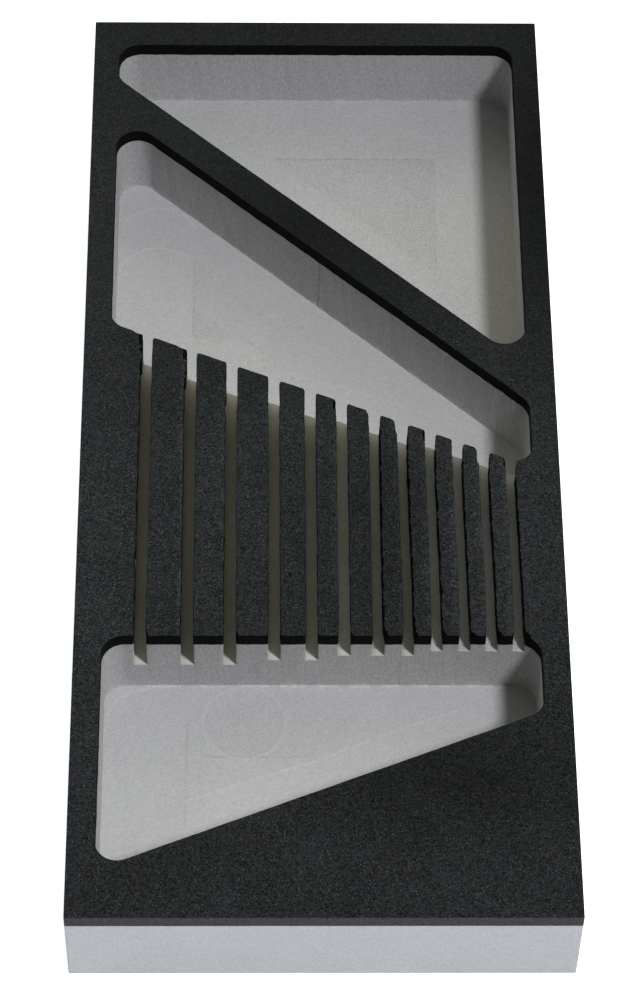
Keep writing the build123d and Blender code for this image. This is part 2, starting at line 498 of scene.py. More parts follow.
MARKS = {
    "far": [
        Mark([(-17, 154.9), (46.3, 154.9)], -0.15, 0.42),
        Mark([(46.3, 154.6), (46.3, 97.5)], -0.09, 0.38),
        Mark([(-12, 166), (47, 166)], 0.05, 0.5),
        Mark([(46.8, 166), (46.8, 157)], 0.03, 0.4),
        Mark([(30, 154), (29, 146), (32, 139), (38, 134), (45, 131)], 0.03, 0.6),
        Mark(arc_points(13, 176.8, 0.35, 0, 360, 0.3), 0.35, 0.35),
        Mark([(-38, 170), (-30, 163)], 0.03, 0.5),
    ],
    "middle": [
        Mark([(-47, 67), (-47, 107)], -0.09, 0.4),
        Mark([(-30, 68.4), (-15, 55.2)], -0.13, 0.4),
        Mark([(-29, 83.6), (-11, 67.3)], -0.06, 0.45),
        Mark([(-16, 51.5), (0, 46.5), (20, 40), (40, 31.5), (60, 22)], 0.05, 0.5),
        Mark(arc_points(-61, 115, 15, 25, 152), 0.1, 0.45),
        Mark(arc_points(-61, 95, 15.2, 35, 172), 0.1, 0.45),
        Mark(arc_points(-61, 96, 14.5, 248, 318), 0.05, 0.45),
        Mark([(-43, 90.6), (-39, 90.8)], 0.05, 0.4),
        Mark([(-60, 112), (-49, 121)], 0.03, 0.45),
        Mark(arc_points(-67, 149, 8.6, 200, 300), 0.04, 0.5),
    ],
    "near": [
        Mark([(-47.3, -101), (-47.3, -146)], -0.1, 0.4),
        Mark([(-47.3, -104.9), (-14, -104.9)], 0.04, 0.4),
        Mark([(-42, -116.5), (-3, -116.5)], -0.13, 0.42),
        Mark([(-48, -134.5), (0, -117.2)], 0.08, 0.5),
        Mark([(0, -117.2), (22, -107.5), (54, -95.2)], 0.07, 0.5),
        Mark(arc_points(-27, -102.6, 14.6, 0, 360), 0.1, 0.42),
        Mark([(-74.5, -96.5), (-71, -92.5), (-66, -89.6), (-60, -88.3)], 0.1, 0.6),
        Mark([(-30.5, -117), (-30.5, -127)], -0.03, 0.4),
    ],
}
# patches of the floor that are darker and rougher, or only paler: outline, tone (below 0 is darker and rougher)
PATCHES = {
    "far": [([(-17, 154.9), (46.3, 154.9), (46.3, 97.5)], -1.0),
            ([(46.3, 166), (70, 166), (70, 80), (46.3, 97.5)], 0.25)],
    "middle": [([(-47, 67), (-47, 83), (-36, 72), (-31, 69), (-36, 64)], -1.3),
               ([(-47, 83), (-47, 107), (-11, 70), (-15, 55.2), (-30, 68.4)], -0.3),
               ([(-76, 62), (-76, 110), (-47, 107), (-47, 50)], 0.7)],
    "near": [(arc_points(-27, -102.6, 14.6, 0, 360, 2), -0.3),
             ([(-47.3, -101), (-10, -90), (20, -92), (8, -108), (-3, -116.5), (-47.3, -116.5)], -0.6),
             ([(-47.3, -146), (-47.3, -134.5), (0, -117.2), (54, -95.2), (66, -110), (0, -146)], 0.5)],
}


def to_lines(points, line):
    """Distance from points to a polyline."""
    best = np.full(len(points), 1e9)
    for a, b in zip(line[:-1], line[1:]):
        d = b - a
        t = np.clip((points - a) @ d / max(d @ d, 1e-9), 0, 1)
        best = np.minimum(best, np.hypot(*(points - a - t[:, None] * d).T))
    return best


def rows_along(line, half, step=1.0):
    """Points in five rows along a polyline."""
    seg = np.hypot(*np.diff(line, axis=0).T)
    s = np.concatenate([[0], np.cumsum(seg)])
    n = max(1, int(s[-1] / step))
    t = np.linspace(0, s[-1], n + 1)
    p = np.stack([np.interp(t, s, line[:, 0]), np.interp(t, s, line[:, 1])], -1)
    d = np.gradient(p, axis=0) if len(p) > 1 else np.array([[1.0, 0.0]])
    d /= np.maximum(np.hypot(*d.T), 1e-9)[:, None]
    nn = np.stack([-d[:, 1], d[:, 0]], -1)
    return np.vstack([p + nn * half * k for k in (-1.25, -0.55, 0, 0.55, 1.25)])


def thin_out(p, reach):
    """Drops points that lie closer than reach to an earlier one."""
    kept, cells = [], {}
    for q in p:
        c = (int(q[0] // reach), int(q[1] // reach))
        if any((q[0] - o[0]) ** 2 + (q[1] - o[1]) ** 2 < reach * reach
               for i in (-1, 0, 1) for j in (-1, 0, 1) for o in cells.get((c[0] + i, c[1] + j), ())):
            continue
        cells.setdefault(c, []).append(q)
        kept.append(q)
    return np.array(kept)


def relief(pocket, p, edge):
    """Height of the pocket floor above its level, and the tone of its finish with painted light and shade."""
    h = 0.018 * noise2(p[:, 0], p[:, 1], 4.3, 21) + 0.012 * noise2(p[:, 0], p[:, 1], 1.9, 22)
    # painted shade and light: the far pocket's whole floor painted darker, the other two paler, standing in for the
    # light falling off towards the far end
    tone = np.full(len(p), {"far": -0.8, "middle": 0.3, "near": 0.4}[pocket])
    for outline, value in PATCHES[pocket]:
        loop = np.asarray(outline, float)
        d = to_lines(p, np.vstack([loop, loop[:1]]))
        signed = np.where(inside(p, [loop]), d, -d)
        w = smooth(-0.35, 0.35, signed)
        tone = tone + value * w
        h = h + 0.035 * max(0.0, -value) * w
        h = h + 0.045 * max(0.0, -value) * w * noise2(p[:, 0], p[:, 1], 1.9, 23)
    for mark in MARKS[pocket]:
        d = to_lines(p, mark.pts)
        shape = np.exp(-(d / mark.half) ** 2 * 1.6)
        ends = np.minimum(np.hypot(*(p - mark.pts[0]).T), np.hypot(*(p - mark.pts[-1]).T))
        if len(mark.pts) < 12:
            shape = shape * smooth(0, 3.0, ends + 0.6)
        shape = shape * (0.75 + 0.35 * noise2(p[:, 0], p[:, 1], 2.1, 24))
        h = h + mark.height * shape
        # grooves painted darker and ridges paler: painted shade and painted highlight over their real relief
        tone = tone + (26.0 if mark.height < 0 else 34.0) * mark.height * shape
    return h * smooth(0.0, 0.9, edge), tone


# ------------------------------------------------------------ grey foam base
LEVELS = [0.0, 0.35, 3.5, 7.5, 7.95, 9.5, 13.0, 17.0, 21.0, 24.0, 27.0, 30.0, 32.2, 33.7, BASE_H]
LI = {z: i for i, z in enumerate(LEVELS)}
FLOOR_L, TOP_L = LI[FLOOR_Z], len(LEVELS) - 1
base_v, base_f, base_tone, base_warm_shade = [], [], [], []
index = -np.ones((len(plan), len(LEVELS)), int)


def base_point(i, level):
    """Number of the base's corner that stands over plan point i at a level."""
    if index[i, level] >= 0:
        return index[i, level]
    z = LEVELS[level]
    s = S[i]
    outer = grade[i] < 0.1
    off = wander[i]
    if outer:
        if level == 0:
            off -= 0.22
        elif level == 1:
            off -= 0.02
        if level not in (0, 1, len(LEVELS) - 1):
            off -= 0.02 * abs(float(noise1(s + 4 * z, 5.0, 30)))
    else:
        k = s - 0.16 * z
        streak = 0.05 * float(noise1(k, 1.25, 31)) + 0.03 * float(noise1(k, 3.1, 32)) \
            + 0.03 * float(noise1(s * 0.7 + 5.1 * z, 2.2, 33))
        off += streak * (0.35 + 0.65 * at_node[i])
        if grade[i] > 0.9 and z > 8:
            # the grey is cut back a little under the black
            ends = min(tip_y(plan[i][0]) - plan[i][1], plan[i][1] - NEAR_WALL_Y)
            off -= 0.06 + 0.22 * float(smooth(0.5, 4.0, ends))
            for n, deep, end in ((1, 0.7, 15.3), (2, 0.65, 14.8)):
                if abs(plan[i][0] - SLOTS[n - 1][0] + SLOT_W / 2) < 1.2:
                    d = tip_y(plan[i][0]) - plan[i][1]
                    off -= deep * float((1 - smooth(end - 0.8, end + 0.8, d)) * smooth(0.3, 2.5, d))
        if abs(plan[i][0] - 0.2) < 0.45 and 80 < plan[i][1] < 84:
            off -= 0.14              # a chatter line where the cutter was lifted
        if z <= 7.5 and not mouth_inner[i]:
            off += 0.16 + 0.12 * float(noise1(s, 1.1, 34))   # burr at the foot of the wall
        elif z == 7.95:
            off += 0.03 + 0.05 * float(noise1(s, 1.4, 35))
        if mouth_inner[i]:
            off *= 0.5
    x, y = plan[i] + normal[i] * off
    if level == len(LEVELS) - 1:
        z = z + scallop[i]
    if outer and level == 0:
        z = 0.0
    if 7.5 < LEVELS[level] < 30.1 and mouth_inner[i]:
        z += 0.12 * float(noise1(s, 1.0, 36))
    index[i, level] = len(base_v)
    base_v.append((x, y, z))
    tone = 0.0
    if level == FLOOR_L and -88.5 < y < -86.5 and -62 < x < 60 and not mouth_inner[i]:
        tone = 4.2 + 3.0 * float(noise1(s, 0.9, 37))   # frayed foot that catches the light
    elif abs(plan[i][0] - 0.2) < 0.45 and 80 < plan[i][1] < 84:
        tone = -2.5
    warm_shade = 0.0
    # painted light and shade on the slot walls above 20 mm: the slot's painted paleness less a painted shade, deeper on
    # the left wall, with its painted warm shade
    if grade[i] > 0.9 and LEVELS[level] > 20 and at_node[i] > 0:
        n = int(np.argmin([abs(plan[i][0] - c) for c, _ in SLOTS]))
        tone, warm_shade = SLOT_PAINTED_LIGHT[n] - (5.5 if plan[i][0] < SLOTS[n][0] else 3.0), SLOT_WARM_SHADE[n]
    base_tone.append(tone)
    base_warm_shade.append(warm_shade)
    return index[i, level]


def base_wall(ids, low, high):
    """Wall over an arc between two levels, facing the open space on the arc's left."""
    for a, b in zip(ids[:-1], ids[1:]):
        for k in range(low, high):
            base_f.append((base_point(b, k), base_point(a, k), base_point(a, k + 1), base_point(b, k + 1)))


def base_flat(loops, level, grid, heights=None, tones=None, up=True, warm_shade=0.0):
    """Level face bounded by loops of plan points, with inner grid points."""
    outlines = [plan[loop] for loop in loops]
    tris = fill(outlines, grid)
    number = [base_point(i, level) for loop in loops for i in loop]
    first = len(base_v)
    zs = LEVELS[level] + (heights if heights is not None else np.zeros(len(grid)))
    for (x, y), z in zip(grid, zs):
        base_v.append((x, y, z))
    base_tone.extend(tones if tones is not None else [0.0] * len(grid))
    base_warm_shade.extend([warm_shade] * len(grid))
    number = np.array(number + list(range(first, first + len(grid))))
    tris = number[tris]
    if not up:
        tris = tris[:, ::-1]
    base_f.extend(map(tuple, tris.tolist()))


base_wall(arcs["far"], FLOOR_L, TOP_L)
base_wall(arcs["middle_rest"], FLOOR_L, TOP_L)
base_wall(arcs["near_rest"], FLOOR_L, TOP_L)
base_wall(arcs["outer"], 0, TOP_L)
for n, (_, z) in enumerate(SLOTS, 1):
    slot_l = LI[z]
    base_wall(arcs[f"L{n}"], slot_l, TOP_L)
    base_wall(arcs[f"R{n}"], slot_l, TOP_L)
    base_wall(arcs[f"tip_mouth{n}"], FLOOR_L, slot_l)
    base_wall(arcs[f"near_mouth{n}"], FLOOR_L, slot_l)
    if n < 12:
        base_wall(arcs[f"tip{n}"], FLOOR_L, TOP_L)
        base_wall(arcs[f"near{n}"], FLOOR_L, TOP_L)


def ring_loop(start, order):
    loop = []
    for name in order:
        loop += arcs[name][:-1]
    return loop


middle_loop = ring_loop("TL1", [x for n in range(1, 13) for x in ([f"tip_mouth{n}"] + ([f"tip{n}"] if n < 12 else []))] + ["middle_rest"])
near_loop = ring_loop("BR12", [x for n in range(12, 0, -1) for x in ([f"near_mouth{n}"] + ([f"near{n - 1}"] if n > 1 else []))] + ["near_rest"])

for pocket, loop in (("far", tops["far"]), ("middle", middle_loop), ("near", near_loop)):
    outline = plan[loop]
    rows = np.vstack([rows_along(m.pts, m.half) for m in MARKS[pocket]]
                     + [rows_along(np.vstack([np.asarray(o, float), np.asarray(o, float)[:1]]), 0.35)
                        for o, _ in PATCHES[pocket]])
    rows = thin_out(rows, 0.2)
    rows = rows[inside(rows, [outline])]
    rows = rows[~near_points(rows, outline, 0.7)]
    grid = hex_grid([outline], 1.35, 0.75, rows, 0.5)
    edge = np.array([0.0] * len(grid))
    tree = KDTree(len(outline))
    for i, (x, y) in enumerate(outline):
        tree.insert((x, y, 0), i)
    tree.balance()
    edge = np.array([tree.find((x, y, 0))[2] for x, y in grid])
    heights, tones = relief(pocket, grid, edge)
    base_flat([loop], FLOOR_L, grid, heights, tones)

for n, (_, z) in enumerate(SLOTS, 1):
    loop = arcs[f"L{n}"][:-1] + arcs[f"near_mouth{n}"][::-1][:-1] + arcs[f"R{n}"][:-1] + arcs[f"tip_mouth{n}"][::-1][:-1]
    outline = plan[loop]
    grid = hex_grid([outline], 1.1, 0.6)
    bumps = noise2(grid[:, 0], grid[:, 1], 1.7, 40 + n)
    soft = noise2(grid[:, 0], grid[:, 1], 5.0, 60 + n)
    across = (grid[:, 0] - SLOTS[n - 1][0]) / (SLOT_W / 2)
    # slot floor: the slot's painted paleness with random mottling, and painted shade towards both walls (the right one
    # only from slot 4 on)
    tones = SLOT_PAINTED_LIGHT[n - 1] + 1.2 * soft + 0.8 * bumps + 1.6 * noise1(grid[:, 1], 16.0, 80 + n)
    tones = tones - 3.5 * smooth(-0.15, -1.0, across) - (0.0 if n < 4 else 2.0) * smooth(0.3, 1.0, across)
    base_flat([loop], LI[z], grid, 0.05 * bumps + 0.03 * soft, tones, warm_shade=SLOT_WARM_SHADE[n - 1])

top_loops = [tops["outer"], tops["far"], tops["hole"]]
base_flat(top_loops, TOP_L, hex_grid([plan[x] for x in top_loops], 5.0, 2.2))
for loop in strips:
    base_flat([loop], TOP_L, hex_grid([plan[loop]], 2.4, 1.2))
base_flat([tops["outer"]], 0, hex_grid([plan[tops["outer"]]], 6.0, 2.2), up=False)

base = make_object("grey_base_foam", base_v, base_f)
tone_layer = base.data.attributes.new("tone", "FLOAT", "POINT")
tone_layer.data.foreach_set("value", np.array(base_tone, np.float32))
base.data.attributes.new("warm_shade", "FLOAT", "POINT").data.foreach_set("value", np.array(base_warm_shade, np.float32))

# ------------------------------------------------------------- black pieces
# profile rings up the cut face of the sheet: height, set-in from the outline, raggedness
RINGS = [(BASE_H, 0.0, 0.55), (35.3, 0.0, 0.6), (36.6, 0.0, 0.75), (38.0, 0.0, 0.9), (39.15, 0.0, 1.0),
         (39.62, 0.0, 1.0), (39.88, 0.05, 1.0), (40.0, 0.14, 0.95)]


def drawn_back(p):
    """How far and which way the sheet slants back from the cut, and its skin is torn back."""
    x, y = p[:, 0], p[:, 1]
    slant, torn = np.zeros_like(p), np.zeros_like(p)
    for n, left, tip, wide, long in CORNER_LOSS:
        way = -1.0 if left else 1.0
        a = way * (x - SLOTS[n - 1][0]) - SLOT_W / 2
        b = tip_y(x) - y if tip else y - NEAR_WALL_Y
        share = np.clip(1 - np.clip(a, 0, None) / wide - np.clip(b, 0, None) / long, 0, 1) / 2
        share = np.where((a > -1.3) & (b > -2.6) & (a < wide) & (b < long), share, 0)
        slant[:, 0] += way * wide * share
        slant[:, 1] += (-long if tip else long) * share
    for table, out, reach in ((RUN_LOSS, slant, 3.0), (SKIN_LOSS, torn, 3.2)):
        for n, left, start, stop, deep in table:
            way = -1.0 if left else 1.0
            a = way * (x - SLOTS[n - 1][0]) - SLOT_W / 2
            d = tip_y(x) - y
            part = smooth(start - 0.25, start + 0.25, d) * (1 - smooth(stop - 0.25, stop + 0.25, d))
            if start > 5:
                part = part * (0.85 + 0.8 * noise1(y, 0.75, 70 + n) + 0.15 * noise1(y, 3.1, 90 + n))
            if out is torn and start > 5:
                part = part * np.clip(0.8 + 1.1 * noise1(y, 1.7, 95 + n), 0.1, 1.6)
            here = (a > -1.3) & (a < reach) & (d > -1.2) & (y > NEAR_WALL_Y - 0.9)
            out[:, 0] += np.where(here, way * deep * part * (1 - smooth(0, reach, a)), 0)
    return slant, torn


def black_piece(name, loops, spacing):
    verts, faces = [], []
    outlines, starts = [], []
    for loop in loops:
        ids = np.array(loop)
        p, nn, s, g = plan[ids], normal[ids], S[ids], grade[ids]
        slow = 0.08 * noise1(s, 3.3, 50) + 0.08 * noise1(s, 1.35, 51) + 0.06 * noise1(s, 0.8, 52)
        tear = noise1(s, 2.3, 53)
        slow = slow - 0.35 * np.clip(tear - 0.62, 0, 1) * (g > 0.9)
        rag = slow * g
        slant, torn = drawn_back(p)
        ledge = np.clip(np.hypot(*torn.T) / 0.3, 0, 1)
        start = len(verts)
        for k, (z, inset, share) in enumerate(RINGS):
            off = wander[ids] - inset + rag * share
            if k < 5:
                grain = 0.03 * noise1(s + 3.0 * z, 0.9, 54) + 0.02 * noise1(s - 2.0 * z, 1.7, 55)
                off = off + grain * (g > 0.06)
            if g[0] < 0.06:
                off = np.minimum(off, -0.005)
            q = p + nn * off[:, None] + slant * smooth(34.6, 39.3, z) + torn * (z > 39.4)
            zz = np.full(len(ids), z)
            if k == 0:
                zz = zz + scallop[ids]
            elif k >= 5:
                zz = zz + 0.03 * noise1(s, 1.6, 56) * np.minimum(1, g * 3) - 0.05 * np.abs(noise1(s, 4.0, 57)) * g
            if k == 5:
                zz = zz - 0.3 * ledge
            if k >= 5:
                zz = np.minimum(zz, HEIGHT)
            verts += [(a[0], a[1], b) for a, b in zip(q, zz)]
        m = len(ids)
        for k in range(len(RINGS) - 1):
            lo, hi = start + k * m, start + (k + 1) * m
            for j in range(m):
                jj = (j + 1) % m
                faces.append((lo + jj, lo + j, hi + j, hi + jj))
        starts.append((start, m))
        outlines.append(p - nn * RINGS[-1][1] + 0.97 * (slant + torn))
    grid = hex_grid(outlines, spacing, max(0.75, spacing * 0.55))
    tris = fill(outlines, grid)
    for up in (True, False):
        number = []
        for start, m in starts:
            first = start + ((len(RINGS) - 1) * m if up else 0)
            number += range(first, first + m)
        first = len(verts)
        if up:
            zs = HEIGHT - 0.012 - 0.035 * np.abs(noise2(grid[:, 0], grid[:, 1], 6.0, 58)) - 0.012 * np.abs(noise2(grid[:, 0], grid[:, 1], 2.2, 59))
            verts += [(x, y, z) for (x, y), z in zip(grid, zs)]
        else:
            verts += [(x, y, BASE_H) for x, y in grid]
        number = np.array(number + list(range(first, first + len(grid))))
        t = number[tris]
        faces += map(tuple, (t if up else t[:, ::-1]).tolist())
    obj = make_object(name, verts, faces)
    v = np.array(verts)
    tone = np.zeros(len(v))
    for x, y, wide, long, change in SHEET_PAINTED_SHEEN:
        tone += change * np.exp(-((v[:, 0] - x) / wide) ** 2 - ((v[:, 1] - y) / long) ** 2)
    # painted highlight on the rim's top beside each listed slot's left side
    for n, highlight in RIM_PAINTED_HIGHLIGHT.items():
        a = v[:, 0] - (SLOTS[n - 1][0] - SLOT_W / 2)
        rim = (np.abs(a) < 1.0) & (v[:, 2] > 39.3) & (v[:, 1] > NEAR_WALL_Y + 1.5) & (v[:, 1] < tip_y(v[:, 0]) - 2)
        tone += np.where(rim, highlight * (0.65 + 0.6 * noise1(v[:, 1], 1.7, 110 + n)), 0)
    obj.data.attributes.new("tone", "FLOAT", "POINT").data.foreach_set("value", tone.astype(np.float32))
    return obj


# painted sheen: broad soft areas of the black sheet painted paler where its sheen is stronger and darker where it is
# weaker: x, y, half width across, half length along, change
SHEET_PAINTED_SHEEN = [
    (84, 125, 16, 80, -0.55), (84, -30, 16, 60, 0.13), (-84, 90, 16, 70, 0.25), (0, 92, 55, 40, -0.47),
    (0, 192, 75, 12, -0.18), (42, -140, 52, 26, -0.45), (-84, -60, 20, 90, 0.33), (24, -35, 14, 55, -0.22),
    (60, -35, 20, 50, 0.17), (-40, -30, 26, 40, 0.29), (10, 0, 60, 16, 0.19), (-60, -178, 30, 14, -0.13),
]


top_frame = black_piece("black_frame_foam", [tops["outer"], tops["far"], tops["hole"]], 2.4)
top_strips = [black_piece(f"black_strip_foam_{n:02d}", [tops[f"strip{n}"]], 1.7) for n in range(1, 12)]

for obj in [base, top_frame] + top_strips:
    mesh = obj.data
    mesh.polygons.foreach_set("use_smooth", np.ones(len(mesh.polygons), bool))
    mesh.set_sharp_from_angle(angle=math.radians(38))


# ------------------------------------------------------------------ materials
class Nodes:
    """Small helper to write a shader tree."""

    def __init__(self, name):
        self.material = bpy.data.materials.new(name)
        self.material.use_nodes = True
        self.tree = self.material.node_tree
        self.tree.nodes.clear()
        self.output = self.add("ShaderNodeOutputMaterial")
        self.surface = self.add("ShaderNodeBsdfPrincipled")
        self.tree.links.new(self.surface.outputs[0], self.output.inputs["Surface"])
        where = self.add("ShaderNodeTexCoord")
        scale = self.add("ShaderNodeVectorMath", operation="SCALE")
        scale.inputs["Scale"].default_value = 1000.0
        self.tree.links.new(where.outputs["Object"], scale.inputs[0])
        self.mm = scale.outputs[0]

    def add(self, kind, **settings):
        node = self.tree.nodes.new(kind)
        for key, value in settings.items():
            setattr(node, key, value)
        return node

    def put(self, socket, value):
        if isinstance(value, bpy.types.NodeSocket):
            self.tree.links.new(value, socket)
        else:
            socket.default_value = value

    def math(self, operation, a, b=0.0, c=0.0, clamp=False):
        node = self.add("ShaderNodeMath", operation=operation, use_clamp=clamp)
        for k, value in enumerate((a, b, c)):
            self.put(node.inputs[k], value)
        return node.outputs[0]

    def ramp(self, x, a, b, lo=0.0, hi=1.0, smooth_step=True):
        node = self.add("ShaderNodeMapRange", interpolation_type="SMOOTHSTEP" if smooth_step else "LINEAR")
        self.put(node.inputs["Value"], x)
        for key, value in (("From Min", a), ("From Max", b), ("To Min", lo), ("To Max", hi)):
            self.put(node.inputs[key], value)
        return node.outputs["Result"]

    def stretched(self, vector, x, y, z):
        node = self.add("ShaderNodeVectorMath", operation="MULTIPLY")
        self.put(node.inputs[0], vector)
        node.inputs[1].default_value = (x, y, z)
        return node.outputs[0]

    def noise(self, scale, detail=2.0, rough=0.5, vector=None):
        node = self.add("ShaderNodeTexNoise")
        self.put(node.inputs["Vector"], vector or self.mm)
        node.inputs["Scale"].default_value = scale
        node.inputs["Detail"].default_value = detail
        node.inputs["Roughness"].default_value = rough
        return node.outputs["Fac"]

    def cells(self, scale, feature="F1", rand=1.0, vector=None):
        node = self.add("ShaderNodeTexVoronoi", feature=feature)
        self.put(node.inputs["Vector"], vector or self.mm)
        node.inputs["Scale"].default_value = scale
        node.inputs["Randomness"].default_value = rand
        return node

    def blend(self, share, a, b):
        node = self.add("ShaderNodeMix", data_type="RGBA")
        self.put(node.inputs[0], share)
        self.put(node.inputs[6], a)
        self.put(node.inputs[7], b)
        return node.outputs[2]

    def tint(self, colour, by):
        """Colour times a number."""
        node = self.add("ShaderNodeVectorMath", operation="SCALE")
        self.put(node.inputs[0], colour)
        self.put(node.inputs["Scale"], by)
        return node.outputs[0]

    def bump(self, height, distance, strength, below=None):
        node = self.add("ShaderNodeBump")
        self.put(node.inputs["Height"], height)
        node.inputs["Distance"].default_value = distance
        node.inputs["Strength"].default_value = strength
        if below is not None:
            self.put(node.inputs["Normal"], below)
        return node.outputs[0]

    def axes(self):
        """Position in mm along X, Y, Z, and how much the face looks up."""
        split = self.add("ShaderNodeSeparateXYZ")
        self.put(split.inputs[0], self.mm)
        shape = self.add("ShaderNodeNewGeometry")
        nsplit = self.add("ShaderNodeSeparateXYZ")
        self.put(nsplit.inputs[0], shape.outputs["Normal"])
        return split.outputs[0], split.outputs[1], split.outputs[2], nsplit.outputs[2]


def black_foam():
    m = Nodes("black_foam_mat")
    x, y, z, up = m.axes()
    # closed cells about 0.5 mm across, each with its own tone: dark pits with paler walls
    cells = m.cells(2.2)
    pits = m.ramp(cells.outputs["Distance"], 0.10, 0.62)
    own = m.add("ShaderNodeSeparateColor")
    m.put(own.inputs[0], cells.outputs["Color"])
    coarse = m.cells(1.05)
    coarse_own = m.add("ShaderNodeSeparateColor")
    m.put(coarse_own.inputs[0], coarse.outputs["Color"])
    grit = m.noise(1.5, 3.0, 0.65)
    patch = m.noise(0.5, 2.0, 0.55)
    cloud = m.noise(0.055, 3.0, 0.55)
    # the tone attribute holds painted sheen: the sheet's paler and darker areas and the highlight on slot rims
    sheen_paint = m.add("ShaderNodeAttribute", attribute_name="tone")
    tone = m.math("MULTIPLY_ADD", pits, 0.25, 0.02)
    tone = m.math("MULTIPLY_ADD", own.outputs[0], 1.0, tone)
    tone = m.math("MULTIPLY_ADD", coarse_own.outputs[0], 0.35, tone)
    tone = m.math("ADD", m.ramp(grit, 0.3, 0.7, -0.5, 0.62, False), tone)
    tone = m.math("ADD", m.ramp(patch, 0.3, 0.7, -0.14, 0.14, False), tone)
    tone = m.math("ADD", m.ramp(cloud, 0.3, 0.7, -0.08, 0.08, False), tone)
    tone = m.math("MAXIMUM", tone, 0.12)
    # bright specks where a cell wall catches the light
    speck = m.cells(1.7)
    pick = m.add("ShaderNodeSeparateColor")
    m.put(pick.inputs[0], speck.outputs["Color"])
    chosen = m.ramp(pick.outputs[0], 0.72, 1.0)
    dot = m.ramp(speck.outputs["Distance"], 0.55, 0.2)
    tone = m.math("MULTIPLY_ADD", m.math("MULTIPLY", chosen, dot), 2.6, tone)
    # the skin is a little smoother towards the far end
    grain = m.ramp(y, 110.0, -40.0, 0.68, 1.08)
    tone = m.math("MULTIPLY_ADD", m.math("SUBTRACT", tone, 1.0), grain, 1.0)
    tone = m.math("MULTIPLY", tone, m.math("ADD", 1.0, sheen_paint.outputs["Fac"]))
    hue = m.blend(m.ramp(m.noise(0.16, 2.0, 0.6), 0.38, 0.62), (0.0158, 0.0193, 0.0196, 1.0), (0.0181, 0.0188, 0.0202, 1.0))
    top = m.tint(hue, tone)
    # cut faces: open pores swallow light in the pockets; the sawn outside is dusty and paler
    cut_tone = m.math("ADD", m.ramp(grit, 0.3, 0.7, -0.4, 0.4, False), 1.0)
    cut_tone = m.math("MULTIPLY", cut_tone, m.ramp(up, 0.3, 0.8, 1.0, 0.35))
    cut = m.tint((0.0034, 0.0036, 0.0036), cut_tone)
    sawn_tone = m.math("MULTIPLY_ADD", own.outputs[0], 0.5, m.math("ADD", m.ramp(grit, 0.3, 0.7, -0.35, 0.35, False), 0.75))
    sawn = m.tint((0.0450, 0.0435, 0.0455), sawn_tone)
    outward = m.math("MAXIMUM", m.math("SUBTRACT", m.math("ABSOLUTE", x), 85.2), m.math("SUBTRACT", m.math("ABSOLUTE", y), 196.2))
    outside = m.ramp(outward, 0.0, 0.25)
    sides = m.blend(outside, cut, sawn)
    upward = m.math("MULTIPLY", m.ramp(up, 0.35, 0.9), m.ramp(z, 39.42, 39.56))
    colour = m.blend(upward, sides, top)
    m.put(m.surface.inputs["Base Color"], colour)
    m.surface.inputs["Roughness"].default_value = 0.82
    m.surface.inputs["Specular IOR Level"].default_value = 0.08
    height = m.math("ADD", m.math("MULTIPLY", pits, 0.6), m.math("MULTIPLY", grit, 0.9))
    m.put(m.surface.inputs["Normal"], m.bump(height, 0.00022, 0.6))
    return m.material


